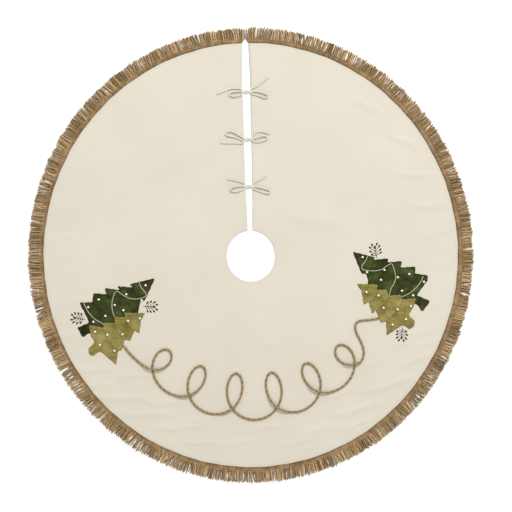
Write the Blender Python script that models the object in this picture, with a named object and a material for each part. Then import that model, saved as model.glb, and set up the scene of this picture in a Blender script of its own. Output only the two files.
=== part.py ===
"""Round tree skirt with a slit, three tied bows, a yarn fringe and appliqued trees.

Metres, +Z up. The skirt lies flat on z = 0 with the slit along +Y. It folds in half about
the line x = 0: the half at -X lifts up and over the half at +X, face inwards. Cloth, trim and
rope are cut at that line, so each half is rigid.
"""
import bpy
import bmesh
from math import atan2, cos, pi, radians, sin
from mathutils import Vector

# Driving dimensions
FACE_HALF_X = 0.562        # visible cloth, half its width
FACE_HALF_Y = 0.5755       # visible cloth, half its depth
HEADER_WIDTH = 0.014       # woven band that carries the yarn loops
LOOP_LENGTH = 0.0265       # how far the loops stand out past the band
HEM_UNDER_HEADER = 0.012   # cloth hidden under the band
LINING_INSET = 0.002       # the lining is cut this much smaller
HOLE_HALF_X = 0.0652       # hole for the trunk
HOLE_HALF_Y = 0.0688
HOLE_Y = -0.003
ROPE_RADIUS = 0.0032
CORD_RADIUS = 0.0023
THREAD_RADIUS = 0.001
BEAD_RADIUS = 0.003
FOLD_HEIGHT = 0.016        # the fold line, clear above everything on the cloth
GAP = 0.0003               # between pieces that touch
FOLD_GAP = 0.00015         # each side of the fold line
ROPE_FOLD_GAP = 0.0006     # the same for the rope, whose ends are a little askew

# Layers, as heights above the floor
LINING_TOP = 0.0008
SHELL_BOTTOM = LINING_TOP + GAP
SHELL_TOP = 0.0021
FACE = SHELL_TOP + GAP     # where everything sewn to the cloth starts
HEADER_TOP = 0.0040
FRINGE_TOP = 0.0032
EMBROIDERY_TOP = 0.0032
DARK_TREE_TOP = 0.0044
LIGHT_TREE_TOP = 0.0066

# Half the slit's width along the slit
SLIT = [(0.030, 0.0062), (0.110, 0.0066), (0.140, 0.0084), (0.220, 0.0095),
        (0.370, 0.0099), (0.480, 0.0110), (0.555, 0.0088), (0.600, 0.0080)]
FRINGE_SLIT = 0.0006       # the fringe closes over the slit's outer end
CLUMPS = 60                # bundles of loops on half the rim
CLUMP_END = [(0.02, 0.0045), (0.2, 0.0009), (0.5, 0.0), (0.8, 0.0009), (0.98, 0.0045)]

MM = 0.001
ROPE_STEP = 0.0135         # between the points along each kind of cord
TIE_STEP = 0.0065
THREAD_STEP = 0.007

# Outlines of the appliqued trees, in millimetres, with straight cut edges
DARK_TREE_LEFT = [
    (-261, -56), (-332, -71), (-321, -80), (-365, -75), (-357, -86), (-400, -79), (-393, -97),
    (-430, -92), (-433, -117), (-469, -117), (-456, -143), (-443, -172), (-476, -185),
    (-461, -213), (-443, -199), (-408, -188), (-381, -177), (-372, -157), (-347, -161),
    (-345, -148), (-320, -143), (-309, -148), (-302, -113), (-292, -119)]
LIGHT_TREE_LEFT = [
    (-290, -150), (-348, -147), (-345, -160), (-375, -157), (-373, -174), (-407, -174),
    (-404, -187), (-444, -178), (-440, -208), (-429, -226), (-448, -244), (-445, -258),
    (-434, -264), (-422, -253), (-412, -253), (-373, -289), (-367, -252), (-357, -250),
    (-347, -220), (-334, -226), (-320, -196), (-308, -206), (-302, -168)]
DARK_TREE_RIGHT = [
    (276, 2), (339, -16), (331, -22), (373, -19), (371, -30), (411, -27), (404, -45),
    (446, -43), (444, -62), (480, -68), (477, -83), (447, -121), (484, -138), (461, -167),
    (444, -141), (404, -130), (373, -119), (378, -103), (345, -103), (342, -87), (328, -83),
    (319, -84), (310, -57), (300, -61)]
LIGHT_TREE_RIGHT = [
    (285, -86), (342, -89), (340, -104), (366, -103), (371, -120), (403, -118), (407, -132),
    (445, -128), (440, -148), (424, -174), (441, -192), (438, -204), (426, -214),
    (408, -201), (402, -204), (363, -228), (362, -190), (347, -194), (335, -158),
    (325, -169), (316, -136), (303, -144), (298, -107)]

# Garland threads on the dark trees: each stretch as it shows beside the light tree
GARLANDS = {
    "garland_upper_left": [
        (-304, -66), (-300, -79), (-287, -97), (-289, -105), (-307, -111), (-328, -110),
        (-348, -101), (-366, -89), (-377, -108), (-380, -131), (-377, -149)],
    "garland_lower_left": [
        (-409, -174), (-427, -163), (-441, -148), (-450, -133), (-454, -121)],
    "garland_upper_right": [
        (317, -11), (310, -25), (300, -39), (304, -48), (329, -52), (352, -49), (371, -38),
        (383, -36), (391, -69), (386, -88), (378, -101)],
    "garland_lower_right": [
        (406, -124), (421, -118), (435, -110), (455, -90), (465, -74)],
}

# Bead centres; the light trees' beads sit higher
DARK_BEADS = [
    (-287, -75), (-340, -98), (-299, -115), (-372, -126), (-349, -141), (-415, -110),
    (-398, -155), (-444, -130), (-431, -170), (303, -14), (361, -50), (314, -55),
    (397, -71), (351, -77), (428, -63), (407, -108), (467, -85), (437, -121)]
LIGHT_BEADS = [
    (-337, -170), (-305, -164), (-353, -206), (-394, -206), (-427, -197), (-415, -233),
    (-376, -250), (343, -119), (311, -109), (356, -153), (394, -158), (430, -150),
    (416, -185), (379, -199)]
BEADS = [(x, y, DARK_TREE_TOP) for x, y in DARK_BEADS]
BEADS += [(x, y, LIGHT_TREE_TOP) for x, y in LIGHT_BEADS]

# Embroidered sprigs: where the stem starts and where its tip is
SPRIGS = {
    "sprig_outer_left": ((-457, -162), (-494, -156)),
    "sprig_inner_left": ((-292, -133), (-254, -135)),
    "sprig_upper_right": ((342, -14), (335, 24)),
    "sprig_lower_right": ((405, -210), (402, -247)),
}

# Rope flourish: loops along an arc round the skirt's centre, then a tail to each light tree
LOOPS_PER_SIDE = 3
LOOP_ARC_RADIUS = 0.385
LOOP_ARC = radians(50)     # the loops' span, each side of -Y
LOOP_SWING = 2.6           # sideways swing over forward step, which opens the loops
LOOP_HEIGHT = 0.062        # half the height of the loops at the middle
LOOP_TAPER = 0.42          # share of that height lost at the outer loops
TAIL_BLEND = 4             # points of the last loop that the tail takes over
ROPE_TAILS = {
    -1: [(-308, -285.5), (-331, -263), (-341, -251), (-348, -240)],
    1: [(298.5, -283), (298.5, -262), (291, -240), (281, -219), (278, -201), (285, -189),
        (299, -185.5), (318, -184.5), (338.3, -181.5)],
}

# Bows: the knot's place along the slit, then each cord's loop and tail from its knot
BOWS = [
    {"y": 443,
     "right": [(4, 0), (12, 0), (27, 0), (42, -4), (54, -11.5), (58, -16), (52, -17.5),
               (36, -12.5), (20, -8), (13, -5.5), (10.5, 3), (14, 9), (27, 13), (41, 23),
               (60, 37)],
     "left": [(-8, 1), (-20, 1), (-34, 0.5), (-44, -1.5), (-47, -6), (-42, -11), (-28, -12),
              (-16, -8), (-11, -4), (-12, 6), (-22, 9), (-34, 10), (-47, 8), (-63, 2),
              (-80, -4)]},
    {"y": 314,
     "right": [(4, 0), (14, 0.5), (28, 4), (42, 8), (52, 7), (54, 1.5), (46, -4), (28, -8.5),
               (15, -6.5), (10.5, 3), (14, 12), (24, 18), (34, 20), (47, 17), (60, 13)],
     "left": [(-8, 2), (-20, 9), (-33, 18), (-46, 23.5), (-57, 20), (-58.5, 13.5), (-49, 10),
              (-34, 6), (-20, 0), (-12, -4), (-11, -9), (-18, -11), (-34, -9.5), (-54, -9),
              (-73, -8)]},
    {"y": 186,
     "right": [(4, 0), (13, -0.5), (27, -2.5), (42, -7), (54, -12), (57, -17), (50, -19.5),
               (36, -16), (20, -10.5), (12, -6.5), (10, 3), (14, 10), (24, 15), (36, 20),
               (49, 28)],
     "left": [(-8, 1), (-20, 1.5), (-36, 0.5), (-47, -2), (-51, -7), (-46, -12), (-34, -13),
              (-19, -9), (-12, -4), (-11, 7), (-18, 12), (-30, 15), (-44, 19), (-59, 22)]},
]
KNOT_SWELL = 1.9           # the knot's radius over the cord's
KNOT_LENGTH = 0.008


def clear_scene():
    for item in list(bpy.data.objects):
        bpy.data.objects.remove(item, do_unlink=True)


def material(name, colour, roughness, metallic=0.0):
    new = bpy.data.materials.new(name)
    new.use_nodes = True
    shader = new.node_tree.nodes["Principled BSDF"]
    shader.inputs["Base Color"].default_value = (*colour, 1.0)
    shader.inputs["Roughness"].default_value = roughness
    shader.inputs["Metallic"].default_value = metallic
    return new


def add(name, mesh, finish):
    thing = bpy.data.objects.new(name, mesh)
    bpy.context.collection.objects.link(thing)
    thing.data.materials.append(finish)
    return thing


def prism(name, outline, bottom, top, finish):
    """A flat piece with the given outline, walked anticlockwise, between two heights."""
    shape = bmesh.new()
    ring = [shape.verts.new((x, y, bottom)) for x, y in outline]
    base = shape.faces.new(ring)
    raised = bmesh.ops.extrude_face_region(shape, geom=[base])["geom"]
    corners = [part for part in raised if isinstance(part, bmesh.types.BMVert)]
    bmesh.ops.translate(shape, verts=corners, vec=(0, 0, top - bottom))
    bmesh.ops.triangulate(shape, faces=shape.faces[:])
    bmesh.ops.recalc_face_normals(shape, faces=shape.faces[:])
    mesh = bpy.data.meshes.new(name)
    shape.to_mesh(mesh)
    shape.free()
    return add(name, mesh, finish)


def tube(name, points, radius, finish, swell=None):
    """A cord through the points, which may swell where the swell list says."""
    path = bpy.data.curves.new(name, "CURVE")
    path.dimensions = "3D"
    path.bevel_depth = radius
    path.bevel_resolution = 2
    path.use_fill_caps = True
    line = path.splines.new("POLY")
    line.points.add(len(points) - 1)
    for place, point in zip(line.points, points):
        place.co = (*point, 1.0)
    for place, share in zip(line.points, swell or []):
        place.radius = share
    return add(name, path, finish)


def smooth(points, step):
    """Points every step or so along a smooth curve through the given ones."""
    points = [Vector(point) for point in points]
    before = 2 * points[0] - points[1]
    after = 2 * points[-1] - points[-2]
    chain = [before] + points + [after]
    fine = []
    for a, b, c, d in zip(chain, chain[1:], chain[2:], chain[3:]):
        for part in range(12):
            t = part / 12
            fine.append(0.5 * (2 * b + (c - a) * t + (2 * a - 5 * b + 4 * c - d) * t * t
                               + (3 * b - a - 3 * c + d) * t ** 3))
    fine.append(points[-1])
    return even(fine, step)


def even(line, step):
    """The same line with points at equal distances, close to step."""
    lengths = [0.0]
    for a, b in zip(line, line[1:]):
        lengths.append(lengths[-1] + (b - a).length)
    count = max(2, round(lengths[-1] / step))
    result = []
    index = 0
    for number in range(count + 1):
        along = lengths[-1] * number / count
        while index < len(line) - 2 and lengths[index + 1] < along:
            index += 1
        share = (along - lengths[index]) / (lengths[index + 1] - lengths[index])
        result.append(line[index].lerp(line[index + 1], min(1.0, share)))
    return result


def slit_half_width(y):
    for (y0, w0), (y1, w1) in zip(SLIT, SLIT[1:]):
        if y <= y1:
            return w0 + (w1 - w0) * max(0.0, y - y0) / (y1 - y0)
    return SLIT[-1][1]


def rim_point(angle, grow):
    """A point of the skirt's oval, grown outwards from the visible cloth's edge."""
    half_x, half_y = FACE_HALF_X + grow, FACE_HALF_Y + grow
    return half_x * cos(angle), half_y * sin(angle)


def rim(grow, low, high, steps):
    return [rim_point(low + (high - low) * i / steps, grow) for i in range(steps + 1)]


def facing(outline, side):
    """The outline as made for +X, or its mirror image, walked the same way round."""
    if side > 0:
        return outline
    return [(-x, y) for x, y in reversed(outline)]


def end_angles(grow, bottom_x, top_x):
    """Where the oval meets the fold line below and the slit's edge above."""
    half_x = FACE_HALF_X + grow
    return -pi / 2 + bottom_x / half_x, pi / 2 - top_x / half_x


def cloth_outline(grow, cut_back):
    """Half a cloth layer, for +X: rim, slit edge, hole and fold line.

    cut_back is how much wider than the shell's the layer's hole and slit are.
    """
    low, high = end_angles(grow, FOLD_GAP, SLIT[-2][1])
    points = rim(grow, low, high, 60)
    hole_x, hole_y = HOLE_HALF_X + cut_back, HOLE_HALF_Y + cut_back
    mouth = slit_half_width(HOLE_Y + hole_y) + cut_back
    slit = [(w + cut_back, y) for y, w in SLIT[1:-1] if y < points[-1][1] - 0.01]
    points += reversed(slit)
    start = pi / 2 - mouth / hole_x
    end = -pi / 2 + FOLD_GAP / hole_x
    for i in range(19):
        angle = start + (end - start) * i / 18
        points.append((hole_x * cos(angle), HOLE_Y + hole_y * sin(angle)))
    return points


def cloth_layers(side, label, shell_finish, lining_finish):
    shell = facing(cloth_outline(HEM_UNDER_HEADER, 0.0), side)
    lining = facing(cloth_outline(HEM_UNDER_HEADER - LINING_INSET, LINING_INSET), side)
    prism("shell_" + label, shell, SHELL_BOTTOM, SHELL_TOP, shell_finish)
    prism("lining_" + label, lining, 0.0, LINING_TOP, lining_finish)


def fringe_header(side, label, finish):
    low, high = end_angles(0.0, FOLD_GAP, SLIT[-2][1])
    inner = rim(0.0, low, high, 60)
    low, high = end_angles(HEADER_WIDTH, FOLD_GAP, SLIT[-2][1] - 0.003)
    outer = rim(HEADER_WIDTH, low, high, 60)
    prism("fringe_header_" + label, facing(outer + inner[::-1], side), FACE, HEADER_TOP, finish)


def fringe(side, label, finish):
    """Half the ring of yarn loops, whose bundles have rounded ends."""
    inner_grow = HEADER_WIDTH + 2 * GAP
    outer_grow = HEADER_WIDTH + LOOP_LENGTH
    low, high = end_angles(inner_grow, FOLD_GAP, FRINGE_SLIT)
    outer = []
    for clump in range(CLUMPS):
        for share, depth in CLUMP_END:
            angle = low + (high - low) * (clump + share) / CLUMPS
            outer.append(rim_point(angle, outer_grow - depth))
    inner = rim(inner_grow, low, high, 60)
    prism("fringe_" + label, facing(outer + inner[::-1], side), 0.0, FRINGE_TOP, finish)


def metres(outline):
    return [(x * MM, y * MM) for x, y in outline]


def anticlockwise(outline):
    area = sum(a[0] * b[1] - b[0] * a[1] for a, b in zip(outline, outline[1:] + outline[:1]))
    return outline if area > 0 else outline[::-1]


def grown(outline, margin):
    """The outline moved outwards by about margin, for a cutter."""
    result = []
    for before, here, after in zip(outline[-1:] + outline[:-1], outline, outline[1:] + outline[:1]):
        ins = (Vector(here) - Vector(before)).normalized()
        out = (Vector(after) - Vector(here)).normalized()
        normal = Vector((ins.y + out.y, -ins.x - out.x)).normalized()
        spread = max(0.35, normal.dot(Vector((out.y, -out.x))))
        result.append(tuple(Vector(here) + normal * margin / spread))
    return result


def tree_pair(label, dark_points, light_points, dark_finish, light_finish):
    """A dark tree flat on the cloth, and a light one that lies over its lower edge."""
    dark_outline = anticlockwise(metres(dark_points))
    light_outline = anticlockwise(metres(light_points))
    prism("dark_tree_" + label, dark_outline, FACE, DARK_TREE_TOP, dark_finish)
    light = prism("light_tree_" + label, light_outline, FACE, LIGHT_TREE_TOP, light_finish)
    cutter = prism("seat_" + label, grown(dark_outline, GAP), FACE - 0.001,
                   DARK_TREE_TOP + GAP, dark_finish)
    cutter.hide_render = True
    cutter.display_type = "WIRE"
    seat = light.modifiers.new("seat", "BOOLEAN")
    seat.operation = "DIFFERENCE"
    seat.solver = "EXACT"
    seat.object = cutter


def garlands(finish):
    height = DARK_TREE_TOP + GAP + THREAD_RADIUS
    for name, route in GARLANDS.items():
        points = [(x * MM, y * MM, height) for x, y in route]
        tube(name, smooth(points, THREAD_STEP), THREAD_RADIUS, finish)


def beads(finish):
    for number, (x, y, top) in enumerate(BEADS, 1):
        shape = bmesh.new()
        bmesh.ops.create_uvsphere(shape, u_segments=8, v_segments=6, radius=BEAD_RADIUS)
        mesh = bpy.data.meshes.new("bead")
        shape.to_mesh(mesh)
        shape.free()
        mesh.shade_smooth()
        bead = add(f"bead_{number:02d}", mesh, finish)
        bead.location = (x * MM, y * MM, top + GAP + BEAD_RADIUS)


def sprig(name, base, tip, finish):
    """A flat fan of twigs, each ending in a long leaf or a berry."""
    base, tip = Vector(base) * MM, Vector(tip) * MM
    lean = atan2(tip.y - base.y, tip.x - base.x)
    reach = (tip - base).length
    twigs = [(-63, 0.52), (-42, 0.72), (-21, 0.86), (0, 1.0), (21, 0.86), (42, 0.72), (63, 0.52)]
    root, twig_width, leaf_width, leaf_length = 0.0028, 0.00035, 0.0014, 0.0060
    outline = []
    for degrees, share in twigs:
        along = Vector((cos(lean + radians(degrees)), sin(lean + radians(degrees))))
        across = Vector((-along.y, along.x))
        far = reach * share
        profile = [(root, twig_width), (far - leaf_length, twig_width),
                   (far - leaf_length * 0.65, leaf_width), (far - leaf_length * 0.3, leaf_width)]
        outline += [base + along * r - across * w for r, w in profile]
        outline.append(base + along * far)
        outline += [base + along * r + across * w for r, w in reversed(profile)]
    outline.append(base - Vector((cos(lean), sin(lean))) * root)
    prism(name, [tuple(point) for point in outline], FACE, EMBROIDERY_TOP, finish)


def loop_point(t):
    """The rope's loops: t runs from 0 at the middle, and each loop's top is at an odd pi."""
    step = LOOP_ARC * LOOP_ARC_RADIUS / (2 * pi * LOOPS_PER_SIDE)
    along = step * (t + LOOP_SWING * sin(t))
    taper = 1 - LOOP_TAPER * (abs(t) / (2 * pi * LOOPS_PER_SIDE)) ** 2
    radius = LOOP_ARC_RADIUS + LOOP_HEIGHT * taper * cos(t)
    angle = along / LOOP_ARC_RADIUS
    return radius * sin(angle), -radius * cos(angle)


def crossing_swing():
    """How far before and after its top a loop crosses itself, found by halving."""
    low, high = 0.5, pi
    for _ in range(40):
        middle = (low + high) / 2
        low, high = (middle, high) if middle < LOOP_SWING * sin(middle) else (low, middle)
    return low


def rope_lift(t, swing):
    """How far the rope rises to pass over itself, just after each loop."""
    lift = 2 * ROPE_RADIUS + GAP
    reach = 0.62
    rise = 0.0
    for loop in range(LOOPS_PER_SIDE):
        away = abs(t - ((2 * loop + 1) * pi + swing)) / reach
        rise = max(rise, lift * min(1.0, 1.25 * (1 - min(1.0, away) ** 2)))
    return rise


def rope(side, label, finish):
    base = FACE + GAP + ROPE_RADIUS
    swing = crossing_swing()
    line = []
    steps = 40 * LOOPS_PER_SIDE
    for i in range(steps + 1):
        t = 2 * pi * LOOPS_PER_SIDE * i / steps
        x, y = loop_point(t)
        x = max(x, ROPE_FOLD_GAP)
        line.append(Vector((side * x, y, base + rope_lift(t, swing))))
    tail = [Vector((x * MM, y * MM, base)) for x, y in ROPE_TAILS[side]]
    tube("rope_" + label, smooth(line[:-TAIL_BLEND] + tail, ROPE_STEP), ROPE_RADIUS, finish)


def tie(name, route, y, knotted, finish):
    """One cord of a bow: its loop and its tail, with the knot at its start on the right."""
    height = FACE + CORD_RADIUS
    points = [(x * MM, (y + dy) * MM, height) for x, dy in route]
    if knotted:
        rise = CORD_RADIUS * (KNOT_SWELL - 1)
        points = [(-0.004, y * MM, height + rise), (0.0, y * MM, height + rise)] + points
        points[2] = (points[2][0], points[2][1], height + rise)
    line = smooth(points, TIE_STEP)
    swell = []
    for point in line:
        near = knotted and abs(point.x) < KNOT_LENGTH * 0.7 and abs(point.y - y * MM) < 0.004
        share = 1 - (abs(point.x) / (KNOT_LENGTH * 0.7)) ** 2 if near else 0.0
        swell.append(1 + (KNOT_SWELL - 1) * max(0.0, share))
    tube(name, line, CORD_RADIUS, finish, swell)


def bows(finish):
    for number, bow in enumerate(BOWS, 1):
        tie(f"tie_right_{number}", bow["right"], bow["y"], True, finish)
        tie(f"tie_left_{number}", bow["left"], bow["y"], False, finish)


def main():
    clear_scene()
    linen = material("linen", (0.80, 0.74, 0.62), 0.92)
    cotton = material("cotton_lining", (0.78, 0.75, 0.68), 0.9)
    jute = material("jute", (0.30, 0.19, 0.09), 0.95)
    dark_velvet = material("dark_velvet", (0.045, 0.075, 0.022), 0.85)
    light_velvet = material("light_velvet", (0.29, 0.24, 0.065), 0.85)
    thread = material("garland_thread", (0.62, 0.62, 0.42), 0.7)
    pearl = material("pearl", (0.86, 0.82, 0.66), 0.25)
    floss = material("embroidery_floss", (0.02, 0.02, 0.03), 0.6)
    twine = material("rope_twine", (0.24, 0.16, 0.055), 0.9)
    cotton_cord = material("cotton_cord", (0.74, 0.70, 0.60), 0.85)
    for side, label in ((-1, "left"), (1, "right")):
        cloth_layers(side, label, linen, cotton)
        fringe_header(side, label, jute)
        fringe(side, label, jute)
        rope(side, label, twine)
    tree_pair("left", DARK_TREE_LEFT, LIGHT_TREE_LEFT, dark_velvet, light_velvet)
    tree_pair("right", DARK_TREE_RIGHT, LIGHT_TREE_RIGHT, dark_velvet, light_velvet)
    garlands(thread)
    beads(pearl)
    for name, (base, tip) in SPRIGS.items():
        sprig(name, base, tip, floss)
    bows(cotton_cord)


main()
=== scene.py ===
"""Looks of the round tree skirt: cloth, fringe, velvet trees, beads, rope and tied bows.

Every length is in metres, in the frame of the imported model. Heights come from cloth_top(), which
says how high the face of the cloth lies at any place, so that all that is sewn to it follows it.
"""
from math import cos, pi, radians, sin

import bpy
import numpy as np
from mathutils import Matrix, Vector
from mathutils.geometry import delaunay_2d_cdt


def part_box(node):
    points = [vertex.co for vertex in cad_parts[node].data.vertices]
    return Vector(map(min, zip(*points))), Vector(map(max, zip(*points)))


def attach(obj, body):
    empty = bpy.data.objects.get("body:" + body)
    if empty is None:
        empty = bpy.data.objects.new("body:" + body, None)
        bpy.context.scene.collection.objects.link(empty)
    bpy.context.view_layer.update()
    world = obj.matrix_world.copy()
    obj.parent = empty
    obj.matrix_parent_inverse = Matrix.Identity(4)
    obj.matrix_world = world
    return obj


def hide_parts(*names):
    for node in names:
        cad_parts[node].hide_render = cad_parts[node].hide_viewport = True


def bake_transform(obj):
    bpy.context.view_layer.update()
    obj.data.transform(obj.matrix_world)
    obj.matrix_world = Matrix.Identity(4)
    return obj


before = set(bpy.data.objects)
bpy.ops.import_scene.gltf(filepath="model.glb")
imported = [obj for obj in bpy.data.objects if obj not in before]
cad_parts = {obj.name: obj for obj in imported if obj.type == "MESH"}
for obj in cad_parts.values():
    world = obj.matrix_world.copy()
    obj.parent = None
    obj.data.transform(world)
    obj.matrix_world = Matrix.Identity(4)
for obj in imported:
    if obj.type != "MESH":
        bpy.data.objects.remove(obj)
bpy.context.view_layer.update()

MM = 0.001
RIGHT, LEFT = "right_half", "left_half"
FOLD_BAND = 0.026          # half the width of cloth that bends when the skirt folds

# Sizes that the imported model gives
SHELL_LOW, SHELL_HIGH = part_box("shell_left")
CLOTH_X, CLOTH_Y, CLOTH_TOP = -SHELL_LOW[0], -SHELL_LOW[1], SHELL_HIGH[2]
LINING_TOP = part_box("lining_left")[1][2]
HEM_UNDER_HEADER = 0.012
FACE_X, FACE_Y = CLOTH_X - HEM_UNDER_HEADER, CLOTH_Y - HEM_UNDER_HEADER
HEADER_WIDTH = -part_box("fringe_header_left")[0][0] - FACE_X
FRINGE_REACH = -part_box("fringe_left")[0][0] - FACE_X

# The cloth's openings and the lining
HOLE_X, HOLE_Y_HALF, HOLE_Y = 0.0652, 0.0688, -0.003     # half its width, half its length, middle
SLIT = [(0.030, 0.0062), (0.110, 0.0066), (0.140, 0.0084), (0.220, 0.0095),
        (0.370, 0.0099), (0.480, 0.0110), (0.555, 0.0088), (0.600, 0.0080)]   # y, half its width
SLIT_END = 0.0085          # the same at its outer end, where the trim starts
LINING_INSET = 0.002       # how much shorter the lining is than the face, all round

# Cords and beads
CORD_RADIUS = 0.0023
CORD_PITCH = 0.011
THREAD_RADIUS = 0.001
STITCH_RADIUS = 0.0003
ROPE_RADIUS = 0.0032
BEAD_RADIUS = 0.0032
# Painted shade: yarn colour darkened between its plies, where less light reaches
GROOVE_SHADE = 0.55        # how much darker yarn is between its plies

chance = np.random.default_rng(7)


# ---- camera and light

def linked(name, data):
    made = bpy.data.objects.new(name, data)
    bpy.context.collection.objects.link(made)
    return made


def make_camera():
    """Looks straight down, turned by as much as the skirt is in the photo."""
    data = bpy.data.cameras.new("camera")
    data.sensor_width = 36.0
    frame_width = 1.390        # what the picture spans at the skirt
    distance = 3.6
    data.lens = data.sensor_width * distance / frame_width
    data.clip_end = 50
    camera = linked("camera", data)
    camera.location = (0.0141, -0.0033, distance)
    camera.rotation_euler = (0, 0, radians(-1.5))
    bpy.context.scene.camera = camera


def soft_light(name, place, size, power):
    data = bpy.data.lights.new(name, "AREA")
    data.shape = "DISK"
    data.size = size
    data.energy = power
    lamp = linked(name, data)
    lamp.location = place
    lamp.rotation_euler = (-Vector(place)).to_track_quat("-Z", "Y").to_euler()


def make_stage():
    """A pale floor just below the skirt, an even sky and two soft lamps."""
    world = bpy.data.worlds.new("studio")
    bpy.context.scene.world = world
    world.use_nodes = True
    sky = world.node_tree.nodes["Background"]
    sky.inputs["Color"].default_value = (1, 1, 1, 1)
    sky.inputs["Strength"].default_value = 0.83
    soft_light("key", (1.6, 3.2, 4.0), size=1.0, power=215)
    soft_light("fill", (-2.0, -1.6, 4.2), size=2.6, power=36)
    side, below = 6.0, 0.0004
    mesh = bpy.data.meshes.new("floor")
    mesh.from_pydata([(-side, -side, 0), (side, -side, 0), (side, side, 0), (-side, side, 0)],
                     [], [(0, 1, 2, 3)])
    floor = linked("floor", mesh)
    floor.location.z = -below
    paper = bpy.data.materials.new("floor_paper")
    paper.use_nodes = True
    shader = paper.node_tree.nodes["Principled BSDF"]
    shader.inputs["Base Color"].default_value = (0.93, 0.93, 0.93, 1)
    shader.inputs["Roughness"].default_value = 0.9
    mesh.materials.append(paper)
    bpy.context.scene.view_settings.view_transform = "Standard"


# ---- material helpers

class Nodes:
    """A material's nodes, with short names for the few kinds that are used."""

    def __init__(self, name):
        self.material = bpy.data.materials.new(name)
        self.material.use_nodes = True
        self.tree = self.material.node_tree
        self.shader = self.tree.nodes["Principled BSDF"]
        self.grain = self.attribute("grain", "Vector")

    def node(self, kind, sockets, **settings):
        """A new node whose sockets are linked to others or set to values."""
        made = self.tree.nodes.new("ShaderNode" + kind)
        for name, value in settings.items():
            setattr(made, name, value)
        for socket, value in sockets.items():
            if isinstance(value, bpy.types.NodeSocket):
                self.tree.links.new(value, made.inputs[socket])
            else:
                made.inputs[socket].default_value = value
        return made

    def attribute(self, name, output="Fac"):
        return self.node("Attribute", {}, attribute_name=name).outputs[output]

    def scaled(self, factors):
        """The grain, in which a pattern repeats this often in a metre along each axis."""
        return self.node("VectorMath", {0: self.grain, 1: factors},
                         operation="MULTIPLY").outputs[0]

    def noise(self, factors, detail=3.0, rough=0.55):
        return self.node("TexNoise", {"Vector": self.scaled(factors), "Scale": 1.0,
                                      "Detail": detail, "Roughness": rough}).outputs["Fac"]

    def wave(self, factors, direction):
        return self.node("TexWave", {"Vector": self.scaled(factors), "Scale": 1.0},
                         bands_direction=direction).outputs["Fac"]

    def ramp(self, source, *stops):
        node = self.node("ValToRGB", {"Fac": source})
        elements = node.color_ramp.elements
        while len(elements) < len(stops):
            elements.new(0.5)
        for element, (place, colour) in zip(elements, stops):
            element.position = place
            element.color = (*colour, 1)
        return node.outputs["Color"]

    def multiplied(self, first, second):
        return self.node("Mix", {0: 1.0, 6: first, 7: second}, data_type="RGBA",
                         blend_type="MULTIPLY").outputs[2]

    def math(self, operation, first, second):
        return self.node("Math", {0: first, 1: second}, operation=operation).outputs[0]

    def finish(self, tone, rough, low, high, height, strength, distance, **constants):
        """Links colour, roughness from low to high and bumps, and sets what is constant."""
        for name, value in constants.items():
            self.shader.inputs[name.replace("_", " ")].default_value = value
        spread = self.node("MapRange", {"Value": rough, "To Min": low, "To Max": high})
        bump = self.node("Bump", {"Height": height, "Strength": strength, "Distance": distance})
        for name, source in (("Base Color", tone), ("Roughness", spread.outputs["Result"]),
                             ("Normal", bump.outputs["Normal"])):
            self.tree.links.new(source, self.shader.inputs[name])
        return self.material


def woven(name, light, dark, thread, slub, sheen):
    """Plain-woven cloth: two sets of threads, uneven slubs along both, and faint shade patches."""
    n = Nodes(name)
    turns = 0.5 / thread
    weave = n.math("MULTIPLY", n.wave((turns, 0, 0), "X"), n.wave((0, turns, 0), "Y"))
    slubs = n.math("MULTIPLY", n.noise((30, 900, 1), 2), n.noise((900, 30, 1), 2))
    tone = n.ramp(n.noise((5.5, 5.5, 5.5)), (0.30, dark), (0.70, light))
    shade = n.ramp(n.math("ADD", n.math("MULTIPLY", weave, 0.5), slubs),
                   (0.10, (1 - slub,) * 3), (0.75, (1.0, 1.0, 1.0)))
    return n.finish(n.multiplied(tone, shade), slubs, 0.82, 0.96,
                    n.math("ADD", weave, slubs), 0.22, 0.0003,
                    Sheen_Weight=sheen, Sheen_Roughness=0.5, Specular_IOR_Level=0.2)


def yarn(name, light, dark, ply, fuzz, rough=0.9, reach=0.35, pale=None):
    """Twisted yarn: fibre streaks along the strand and lighter and darker patches. The shape's
    tint, which holds painted shade and painted highlights as well as the strands' own tone, counts
    for as much as reach says, and pale is the colour of its lightest fibres."""
    n = Nodes(name)
    streak = n.noise((140, 1900, 1900), 3)
    patch = n.noise((26, 120, 120), 2)
    mixed = n.math("ADD", n.math("MULTIPLY", streak, 0.55), n.math("MULTIPLY", patch, 0.25))
    mixed = n.math("ADD", mixed, n.math("MULTIPLY", n.attribute("tint"), reach))
    shift = (reach - 0.35) / 2
    stops = [(0.30 + shift, dark), (0.80 + shift, light)]
    if pale:
        stops.append((0.98 + shift, pale))
    return n.finish(n.ramp(mixed, *stops), streak, rough - 0.08, min(1.0, rough + 0.06),
                    n.math("ADD", streak, n.math("MULTIPLY", patch, ply)), 0.5, 0.0004,
                    Sheen_Weight=fuzz, Sheen_Roughness=0.6, Specular_IOR_Level=0.15)


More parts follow.
